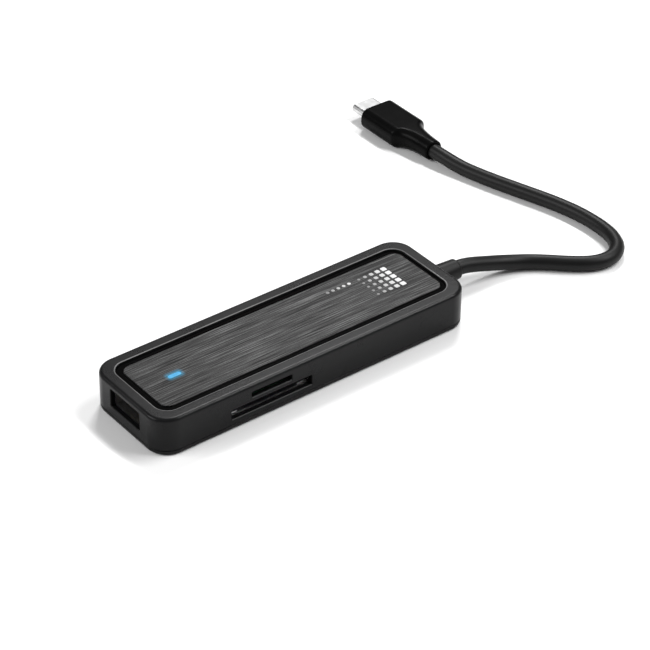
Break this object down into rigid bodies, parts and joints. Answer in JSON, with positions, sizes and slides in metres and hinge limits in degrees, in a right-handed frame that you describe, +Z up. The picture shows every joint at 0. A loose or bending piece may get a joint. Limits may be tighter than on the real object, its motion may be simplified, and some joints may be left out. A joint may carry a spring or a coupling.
{
  "type": "usb hub",
  "caption": "Slim black usb hub: rounded case with a brushed top panel and blue light, card slots and usb ports in its walls, and a short captive cable to a plug.",
  "frame": {"origin": "middle of the case's underside, on the surface that the hub stands on", "axes": "+X along the case towards the cable outlet, +Y towards the long wall away from the card slots, +Z up out of the brushed panel"},
  "size_m": [0.1563, 0.1045, 0.011],
  "materials": {
    "case_plastic": "fine matte texture, charcoal black",
    "gloss_trim": "piano black",
    "panel_metal": "brushed lengthwise, anodised dark grey, with a printed mark",
    "blue_light": "clear window lit blue from inside",
    "led_package": "moulded LED package",
    "circuit_board": "green solder mask",
    "screw_steel": "zinc plated",
    "connector_steel": "nickel plated sheet",
    "connector_nylon": "moulded black nylon",
    "slider_nylon": "moulded ivory nylon",
    "chip_package": "moulded chip package, unmarked",
    "ferrite": "sintered ferrite",
    "capacitor_case": "moulded amber case",
    "wire_red": "insulation",
    "wire_black": "insulation",
    "wire_green": "insulation",
    "wire_white": "insulation",
    "cable_jacket": "smooth satin jacket",
    "plug_grip": "satin moulded elastomer"
  },
  "bodies": {
    "hub": {"housing": "case_plastic", "base_cover": "case_plastic", "bezel_ring": "gloss_trim", "top_panel": "panel_metal", "light_pipe": "blue_light", "status_led": "led_package", "main_pcb": "circuit_board", "pcb_screw_1": "screw_steel", "pcb_screw_2": "screw_steel", "pcb_screw_3": "screw_steel", "pcb_screw_4": "screw_steel", "usb_a_front_shell": "connector_steel", "usb_a_front_tongue": "connector_nylon", "usb_a_side_shell": "connector_steel", "usb_a_side_tongue": "connector_nylon", "usb_c_side_shell": "connector_steel", "usb_c_side_tongue": "connector_nylon", "sd_socket_shell": "connector_steel", "sd_socket_body": "connector_nylon", "microsd_socket_shell": "connector_steel", "microsd_socket_body": "connector_nylon", "microsd_spring": "connector_steel", "hub_controller": "chip_package", "card_reader_controller": "chip_package", "voltage_regulator": "chip_package", "inductor": "ferrite", "capacitor_1": "capacitor_case", "capacitor_2": "capacitor_case", "crystal": "connector_steel", "strain_relief": "cable_jacket", "cable_tail": "cable_jacket", "wire_1": "wire_red", "wire_2": "wire_black", "wire_3": "wire_green", "wire_4": "wire_white", "cable": "cable_jacket", "plug_overmould": "plug_grip", "plug_shell": "connector_steel", "plug_insert": "connector_nylon"},
    "card_slider": {"microsd_slider": "slider_nylon"}
  },
  "joints": [
    {"name": "microsd_slide", "type": "slide", "parent": "hub", "child": "card_slider", "axis": [0, 1, 0], "range_m": [0, 0.004], "stiffness_N_per_m": 150, "deforming": ["microsd_spring"]}
  ]
}
